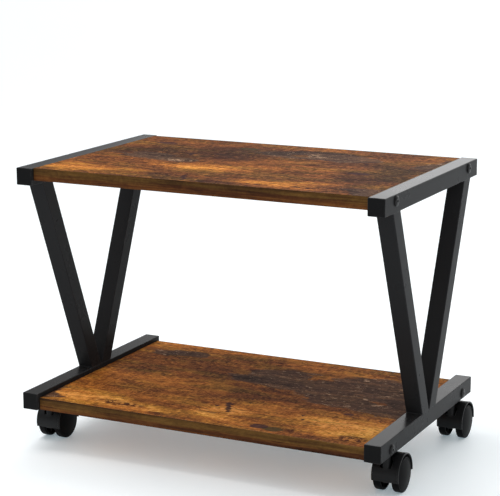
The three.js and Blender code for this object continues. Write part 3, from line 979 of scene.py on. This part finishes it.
def make_end_caps():
    """A plate with rounded edges and a hollow plug behind it. Modelled for a front end."""
    low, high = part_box("left_top_front_end_cap")
    plate = block("cap", low, (high.x, low.y + CAP_PLATE, high.z))
    with editing(plate, "EDGE"):
        pick(plate, "edges", runs_along(1))
        bpy.ops.mesh.bevel(offset=TUBE_CORNER, segments=6, affect="EDGES")
    soften(plate, CAP_EDGE, 3, 50)
    start = low + Vector((PLUG_MARGIN, CAP_PLATE / 2, PLUG_MARGIN))
    plug = block("plug", start, (high.x - PLUG_MARGIN, high.y, high.z - PLUG_MARGIN))
    with editing(plug, "FACE"):
        pick(plug, "faces", lambda face: face.normal.y > 0.9)
        bpy.ops.mesh.inset(thickness=PLUG_WALL)
        bpy.ops.mesh.extrude_region_move(TRANSFORM_OT_translate={"value": (0, -PLUG_HOLLOW, 0)})
    soften(plug, PLUG_EDGE, 2, 50)
    cap = smooth(carve(plate, plug, "UNION"))
    for side_name, _ in SIDES:
        for level in ("top", "bottom"):
            for end_name, toward in ENDS:
                node = f"{side_name}_{level}_{end_name}_end_cap"
                twin = placed_copy(cap, f"{node}_cover", (low + high) / 2, middle_of(node), toward > 0)
                hand_over(twin, "frame", "end_cap_plastic", [cap_plastic], node)
    bpy.data.objects.remove(cap)


# ----------------------------
# Shelves
# ----------------------------

INSERT_HOLE = 5.3 * MM
INSERT_HOLE_DEPTH = 16.5 * MM
INSERT_HOLE_OVERRUN = 5 * MM
BOARD_EDGE = 0.25 * MM
BAND_EDGE = 0.35 * MM
PRINT_DEPTH = 0.5 * MM


def make_shelf(level, board_print, band_print):
    """A board drilled at both ends for its insert nuts, and the bands on its two long edges."""
    low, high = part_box(f"{level}_shelf_board")
    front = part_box(f"{level}_shelf_front_edge_band")[1].y
    panel = block(f"{level}_shelf_panel", (low.x, front, low.z), (high.x, -front, high.z))
    soften(panel, BOARD_EDGE, 2)
    for side_name, side in SIDES:
        for end_name, _ in ENDS:
            nut = middle_of(f"{level}_{side_name}_{end_name}_insert_nut")
            end = high.x if side > 0 else low.x
            start = (end - side * INSERT_HOLE_DEPTH, nut.y, nut.z)
            end = (end + side * INSERT_HOLE_OVERRUN, nut.y, nut.z)
            carve(panel, round_bar("drill", INSERT_HOLE, start, end))
    smooth(panel)
    hand_over(panel, "frame", "shelf_laminate", [board_print, chipboard], f"{level}_shelf_board")
    middle = (low.z + high.z) / 2
    for face in panel.data.polygons:
        printed = abs(face.normal.z) > 0.5 and abs(face.center.z - middle) > high.z - middle - PRINT_DEPTH
        face.material_index = 0 if printed else 1

    for end_name, _ in ENDS:
        node = f"{level}_shelf_{end_name}_edge_band"
        band = block(f"{node}_strip", *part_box(node))
        soften(band, BAND_EDGE, 3)
        smooth(band)
        hand_over(band, "frame", "edge_band", [band_print], node)


# ----------------------------
# Shelf bolts
# ----------------------------

SHANK = 3.0 * MM
SHANK_CHAMFER = 0.6 * MM
PLAIN_SHANK = 24 * MM
THREAD_START = 0.5 * MM
THREAD_PITCH = 1.0 * MM
THREAD_DEPTH = 0.35 * MM
HEAD = 7.2 * MM
HEAD_HEIGHT = 2.2 * MM
HEAD_RIM = 1.2 * MM
HEAD_EDGE = 0.3 * MM
DOME_STEPS = 6
SOCKET = 2.35 * MM
SOCKET_DEPTH = 1.7 * MM
SOCKET_MARGIN = 0.5 * MM


def make_bolts():
    """A low-domed head with a hexagon socket, on a threaded shank. Modelled pointing to +X."""
    low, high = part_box("upper_right_front_bolt")
    centre = (low + high) / 2
    seat = high.x - HEAD_HEIGHT
    profile = [(low.x, 0.0), (low.x, SHANK - SHANK_CHAMFER)]
    place = low.x + THREAD_START
    while place < seat - PLAIN_SHANK:
        profile += [(place, SHANK), (place + THREAD_PITCH / 2, SHANK - THREAD_DEPTH)]
        place += THREAD_PITCH
    profile += [
        (place, SHANK), (seat, SHANK), (seat, HEAD - HEAD_EDGE), (seat + HEAD_EDGE, HEAD),
        (seat + HEAD_RIM, HEAD),
    ]
    flat = SOCKET + SOCKET_MARGIN
    for step in range(1, DOME_STEPS):
        share = step / DOME_STEPS
        rise = (HEAD_HEIGHT - HEAD_RIM) * sin(share * pi / 2) ** 0.7
        profile.append((seat + HEAD_RIM + rise, HEAD - (HEAD - flat) * share))
    profile += [(high.x, flat), (high.x, 0.0)]
    bolt = spun("bolt", profile, centre, steps=40)
    bottom = (high.x - SOCKET_DEPTH, centre.y, centre.z)
    carve(bolt, round_bar("socket", SOCKET, bottom, (high.x + 1 * MM, centre.y, centre.z), 6))
    smooth(bolt, 35)
    for level in ("upper", "lower"):
        for side_name, side in SIDES:
            for end_name, _ in ENDS:
                node = f"{level}_{side_name}_{end_name}_bolt"
                twin = placed_copy(bolt, f"{node}_screw", centre, middle_of(node), side < 0)
                hand_over(twin, "frame", "bolt_steel", [bolt_black], node)
    bpy.data.objects.remove(bolt)


# ----------------------------
# Casters
# ----------------------------

WHEEL = 25.0 * MM
WHEEL_INSIDE = 8.2 * MM  # from a caster's middle to the inner side of a wheel
WHEEL_BORE = 3.35 * MM
HUB = 6.0 * MM
HUB_PROUD = 2.7 * MM
BORE_CHAMFER = 0.3 * MM
HUB_CHAMFER = 0.4 * MM
RIM_INSIDE = 22.0 * MM
INNER_ROUND = 1.6 * MM
OUTER_ROUND = 1.3 * MM
DOME = 21.6 * MM
DOME_RISE = 2.4 * MM
DOME_LIP = 0.1 * MM
FACE_STEPS = 9
DISC = 2.2 * MM
RIM_GROOVE = 0.35 * MM
RIM_GROOVE_OUTSIDE = 22.6 * MM
RIBS = 6
RIB_TURN = 15
RIB_HALF = 0.7 * MM
RIB_START = 5.5 * MM
RIB_END = 22.6 * MM
RIB_INSET = 1.5 * MM

HOOD_INSIDE = 26.4 * MM
HOOD_OUTSIDE = 28.6 * MM
HOOD_RISE = 2.6 * MM
HOOD_REAR = -6
HOOD_FRONT = 195
HOOD_STEPS = 67
HOOD_CHAMFER = 0.6 * MM
HOOD_LIP = 2.2 * MM
HOOD_GROOVE = 0.35 * MM
HOOD_GROOVE_SLOPE = 0.3 * MM
RECESS = 9.2 * MM
RECESS_FLOOR = 14.5 * MM
WEB = 3.5 * MM
HUB_HALF = 4.9 * MM
BOSS = 5.6 * MM
BOSS_FOOT = 5 * MM
BOSS_EDGE = 0.6 * MM
STEM_BORE = 3.95 * MM
STEM_BORE_DEPTH = 21 * MM
AXLE_BORE = 3.3 * MM
CLEAR = 50 * MM


def caster_places():
    """For each caster: its name, its side, and the centres of its stem and its axle."""
    for end_name, _ in ENDS:
        for side_name, side in SIDES:
            name = f"{end_name}_{side_name}_caster"
            yield name, side, middle_of(f"{name}_stem"), middle_of(f"{name}_axle")


def make_wheel(axle, inner_face, outer_face):
    """A hollow wheel with its closed face to +X: crowned tread, stepped rim, domed face, ribs inside."""
    shoulder = outer_face - DOME_RISE
    disc_inside = shoulder - DISC
    hub_face = inner_face - HUB_PROUD
    groove_inside = RIM_GROOVE_OUTSIDE - 0.3 * MM
    lip = shoulder + DOME_LIP
    profile = [
        (disc_inside, 0.0), (disc_inside, WHEEL_BORE), (hub_face + BORE_CHAMFER, WHEEL_BORE),
        (hub_face, WHEEL_BORE + BORE_CHAMFER), (hub_face, HUB - HUB_CHAMFER), (hub_face + HUB_CHAMFER, HUB),
        (disc_inside, HUB + 0.3 * MM), (disc_inside, RIM_INSIDE - 0.2 * MM), (inner_face, RIM_INSIDE),
    ]
    profile += arc((inner_face + INNER_ROUND, WHEEL - INNER_ROUND), INNER_ROUND, 180, 90, 5)
    profile += [((inner_face + shoulder) / 2, WHEEL)]
    profile += arc((shoulder - OUTER_ROUND, WHEEL - OUTER_ROUND), OUTER_ROUND, 90, 0, 5)
    profile += [
        (shoulder, RIM_GROOVE_OUTSIDE), (shoulder - RIM_GROOVE, groove_inside),
        (shoulder - RIM_GROOVE, RIM_INSIDE),
    ]
    for step in range(FACE_STEPS):
        share = step / FACE_STEPS
        profile.append((lip + (outer_face - lip) * (1 - (1 - share) ** 2), DOME * (1 - share)))
    profile.append((outer_face, 0.0))
    wheel = spun("wheel", profile, axle, steps=72)
    for number in range(RIBS):
        start = (inner_face + RIB_INSET, -RIB_HALF, RIB_START)
        rib = block("rib", start, (disc_inside + 0.5 * MM, RIB_HALF, RIB_END))
        rib.rotation_euler = (radians(360 / RIBS * number + RIB_TURN), 0, 0)
        rib.location = (0, axle.y, axle.z)
        bpy.ops.object.transform_apply(location=True, rotation=True, scale=True)
        carve(wheel, rib, "UNION")
    return smooth(wheel, 30)


def make_housing(stem, axle, half_width, top):
    """Hood, web and stem boss in one moulding, for the caster at the given place."""
    x = stem.x
    middle = axle + Vector((0, 0, HOOD_RISE))
    side = x - half_width
    groove = side + HOOD_LIP
    profile = [
        (side + HOOD_CHAMFER, HOOD_INSIDE), (side, HOOD_INSIDE + HOOD_CHAMFER),
        (side, HOOD_OUTSIDE - HOOD_CHAMFER), (side + HOOD_CHAMFER, HOOD_OUTSIDE),
        (groove, HOOD_OUTSIDE), (groove + HOOD_GROOVE_SLOPE, HOOD_OUTSIDE - HOOD_GROOVE),
    ]
    profile += [(2 * x - along, radius) for along, radius in reversed(profile)]
    hood = spun("housing", profile, middle, HOOD_REAR, HOOD_FRONT - HOOD_REAR, HOOD_STEPS, closed=True)
    floor = (x, stem.y, axle.z + RECESS_FLOOR)
    carve(hood, round_bar("recess", RECESS, floor, (x, stem.y, top + 20 * MM), 48))

    web_radius = (HOOD_INSIDE + HOOD_OUTSIDE) / 2
    profile = [(x - WEB, 0.0), (x - WEB, web_radius), (x + WEB, web_radius), (x + WEB, 0.0)]
    web = spun("web", profile, middle, steps=64)
    start = axle - Vector((CLEAR, CLEAR, CLEAR))
    end = axle + Vector((CLEAR, CLEAR, CLEAR))
    carve(web, block("trim", start, (end.x, end.y, axle.z - HUB)))
    carve(web, block("trim", (start.x, axle.y + HUB, start.z), end))
    carve(hood, web, "UNION")

    hub = round_bar("hub", HUB, (x - HUB_HALF, axle.y, axle.z), (x + HUB_HALF, axle.y, axle.z), 40)
    soften(hub, HUB_CHAMFER, 2, 60)
    carve(hood, hub, "UNION")
    boss = round_bar("boss", BOSS, (x, stem.y, axle.z + BOSS_FOOT), (x, stem.y, top), 48)
    soften(boss, BOSS_EDGE, 3, 60)
    carve(hood, boss, "UNION")
    bottom = (x, stem.y, top - STEM_BORE_DEPTH)
    carve(hood, round_bar("bore", STEM_BORE, bottom, (x, stem.y, top + OVERRUN)))
    start = (x - 2 * OVERRUN, axle.y, axle.z)
    carve(hood, round_bar("bore", AXLE_BORE, start, (x + 2 * OVERRUN, axle.y, axle.z)))
    return smooth(hood, 32)


def make_casters():
    """One wheel and one housing, modelled at the front right and copied to the other places."""
    places = {name: (side, stem, axle) for name, side, stem, axle in caster_places()}
    _, home_stem, home = places["front_right_caster"]
    outer_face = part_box("front_right_caster_outer_wheel")[1].x
    housing_low, housing_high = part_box("front_right_caster_housing")
    half_width = (housing_high.x - housing_low.x) / 2
    wheel = make_wheel(home, home_stem.x + WHEEL_INSIDE, outer_face)
    housing = make_housing(home_stem, home, half_width, housing_high.z)
    for name, (side, _, axle) in places.items():
        cover = placed_copy(housing, f"{name}_body", home, axle)
        hand_over(cover, name, "caster_nylon", [nylon], f"{name}_housing")
        for wheel_name, faces in (("outer", side), ("inner", -side)):
            node = f"{name}_{wheel_name}_wheel"
            twin = placed_copy(wheel, f"{node}_rim", home, axle, faces < 0)
            hand_over(twin, node, "caster_nylon", [wheel_nylon], node)
    bpy.data.objects.remove(wheel)
    bpy.data.objects.remove(housing)


# ----------------------------
# Carried-over frame nodes
# ----------------------------


def finish_carried_nodes():
    for name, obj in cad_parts.items():
        if name.endswith(("_stem", "_axle", "_insert_nut")):
            obj.data.materials.clear()
            obj.data.materials.append(zinc if name.endswith("_insert_nut") else black_zinc)


make_camera()
make_world()
make_stage()
make_side_frames()
make_end_caps()
make_shelf("upper", upper_laminate_painted_shade, upper_edge)
make_shelf("lower", lower_laminate, lower_edge)
make_bolts()
make_casters()
finish_carried_nodes()
deselect_all()
